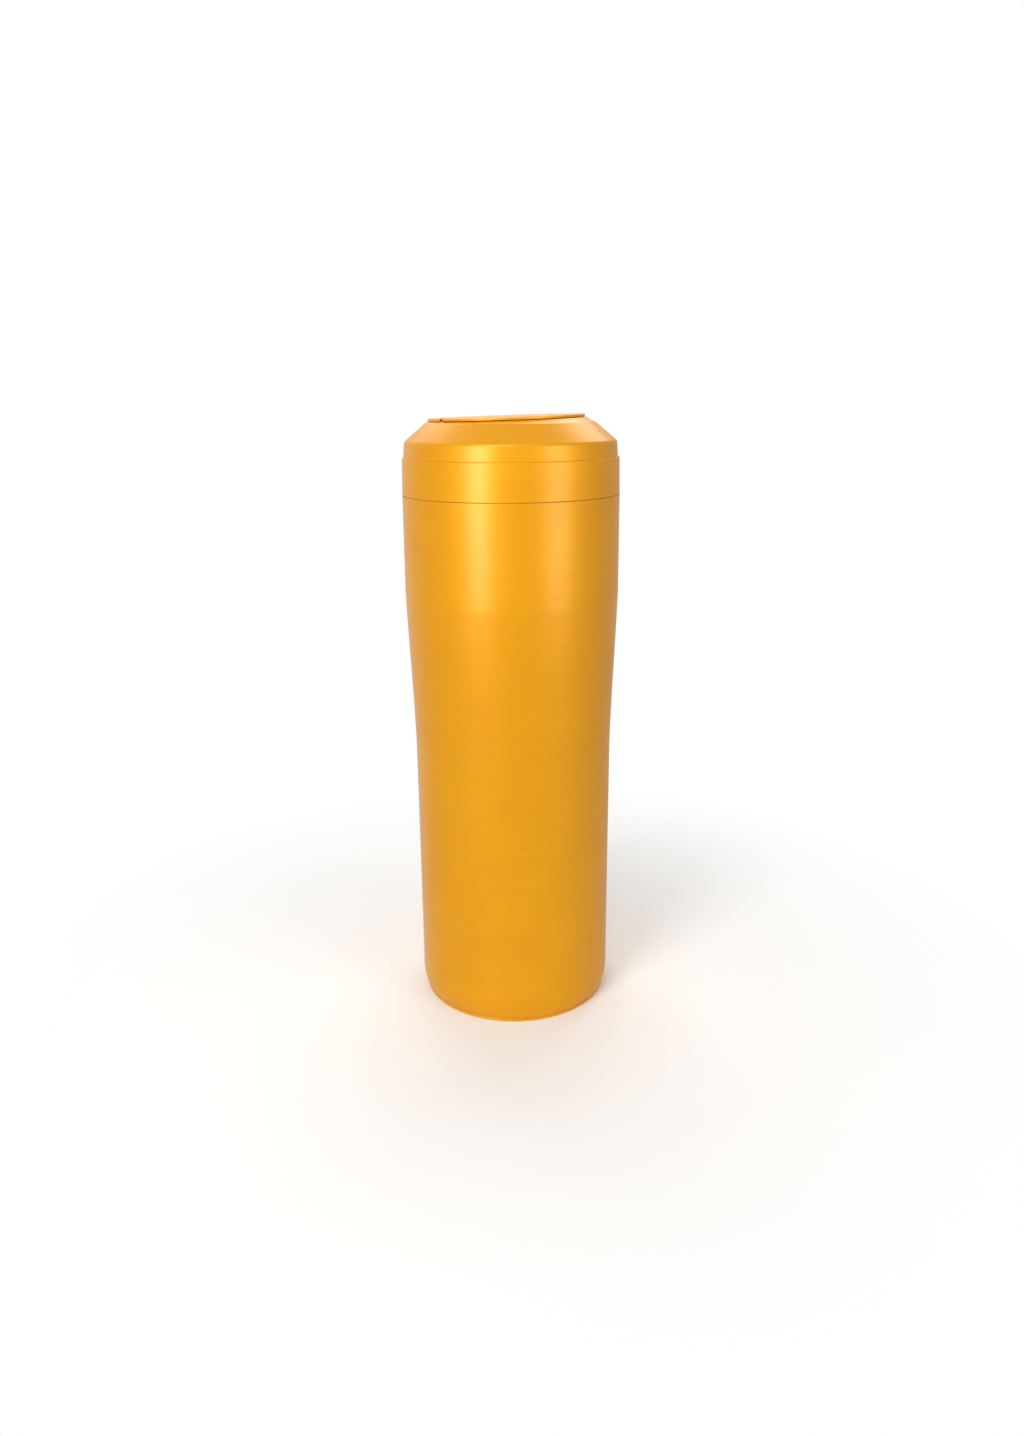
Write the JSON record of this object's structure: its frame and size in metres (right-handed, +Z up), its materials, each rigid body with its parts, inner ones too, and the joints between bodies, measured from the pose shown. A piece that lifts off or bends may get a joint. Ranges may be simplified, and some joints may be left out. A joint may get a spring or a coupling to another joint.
{
  "type": "retractable bollard",
  "caption": "Round retractable bollard in a satin yellow casing with a chamfered crown and a hinged top lid over a post that slides up and locks.",
  "frame": {"origin": "on the post's axis, at the underside of the base plate", "axes": "+Z up along the post's travel, -Y towards the front bolt, +X towards the lid's latch and the high side of its slope, -X towards the lid's hinge"},
  "size_m": [0.2752, 0.275, 0.7816],
  "materials": {
    "yellow_lacquer": "satin gold-yellow lacquer over a turned surface",
    "black_rubber": "matt moulded rubber",
    "cork_rubber": "brown cork rubber sheet, cut",
    "acetal": "machined acetal, natural white",
    "stainless_steel": "brushed stainless steel",
    "reflective_tape": "white retroreflective tape",
    "galvanised_steel": "hot dip galvanised",
    "cast_aluminium": "sand cast, machined faces",
    "black_enamel": "black stoving enamel",
    "hard_chrome": "ground hard chrome",
    "brass": "machined brass",
    "zinc_plate": "bright zinc plate",
    "tool_steel": "ground tool steel, oiled",
    "screw_steel": "plain stainless fasteners"
  },
  "bodies": {
    "casing": {"casing_shell": "yellow_lacquer", "base_plate": "yellow_lacquer", "base_screws": "screw_steel", "drain_fitting": "brass", "drain_strainer": "stainless_steel", "guide_rod_1": "hard_chrome", "guide_rod_2": "hard_chrome", "guide_rod_3": "hard_chrome", "rod_screws": "screw_steel", "lower_buffers": "black_rubber", "upper_buffers": "black_rubber", "rod_collars": "tool_steel", "lower_keeper": "galvanised_steel", "upper_keeper": "galvanised_steel", "ring_gasket": "cork_rubber", "casing_ring": "yellow_lacquer", "crown": "yellow_lacquer", "head_frame": "galvanised_steel", "frame_screws": "screw_steel", "upper_bush": "acetal", "wiper_seal": "black_rubber", "gas_cylinder_left": "black_enamel", "gas_cylinder_right": "black_enamel", "gas_gland_left": "zinc_plate", "gas_gland_right": "zinc_plate"},
    "post": {"post_tube": "stainless_steel", "reflective_bands": "reflective_tape", "head_screws": "screw_steel", "carriage_screws": "screw_steel", "carriage": "cast_aluminium", "carriage_bushes": "acetal", "head_casting": "cast_aluminium", "lid_gasket": "black_rubber", "hinge_leaf": "yellow_lacquer", "leaf_screws": "screw_steel", "hinge_pin": "stainless_steel", "lock_housing": "brass", "housing_screws": "screw_steel", "handle_lugs": "zinc_plate", "lug_screws": "screw_steel", "gas_rod_left": "hard_chrome", "gas_rod_right": "hard_chrome"},
    "lid": {"lid": "yellow_lacquer", "latch_sleeve": "zinc_plate"},
    "latch": {"latch_plug": "brass", "latch_cam": "zinc_plate", "latch_screw": "screw_steel"},
    "lock": {"key_plug": "brass", "lock_shaft": "tool_steel", "cam_disc": "tool_steel", "cam_pin": "tool_steel"},
    "bolt_front": {"bolt_front": "tool_steel", "follower_pin_front": "tool_steel"},
    "bolt_back": {"bolt_back": "tool_steel", "follower_pin_back": "tool_steel"},
    "handle": {"lift_handle": "zinc_plate"}
  },
  "joints": [
    {"name": "post_lift", "type": "slide", "parent": "casing", "child": "post", "axis": [0, 0, 1], "range_m": [0, 0.57]},
    {"name": "lid_hinge", "type": "hinge", "parent": "post", "child": "lid", "pos_m": [-0.08105, 0, 0.77541], "axis": [0, -1, 0], "range_deg": [0, 105]},
    {"name": "latch_turn", "type": "hinge", "parent": "lid", "child": "latch", "pos_m": [0.05593, 0, 0.77764], "axis": [0.0236, 0, -0.9997], "range_deg": [0, 90]},
    {"name": "lock_turn", "type": "hinge", "parent": "post", "child": "lock", "pos_m": [0, 0, 0.722], "axis": [0, 0, 1], "range_deg": [0, 60]},
    {"name": "bolt_front_slide", "type": "slide", "parent": "post", "child": "bolt_front", "axis": [0, -1, 0], "range_m": [0, 0.0075]},
    {"name": "bolt_back_slide", "type": "slide", "parent": "post", "child": "bolt_back", "axis": [0, 1, 0], "range_m": [0, 0.0075]},
    {"name": "handle_fold", "type": "hinge", "parent": "post", "child": "handle", "pos_m": [0, 0, 0.728], "axis": [1, 0, 0], "range_deg": [0, 90]}
  ],
  "couplings": [
    {"joint": "bolt_front_slide", "follows": "lock_turn", "m_per_rad": 0.007162},
    {"joint": "bolt_back_slide", "follows": "lock_turn", "m_per_rad": 0.007162}
  ]
}
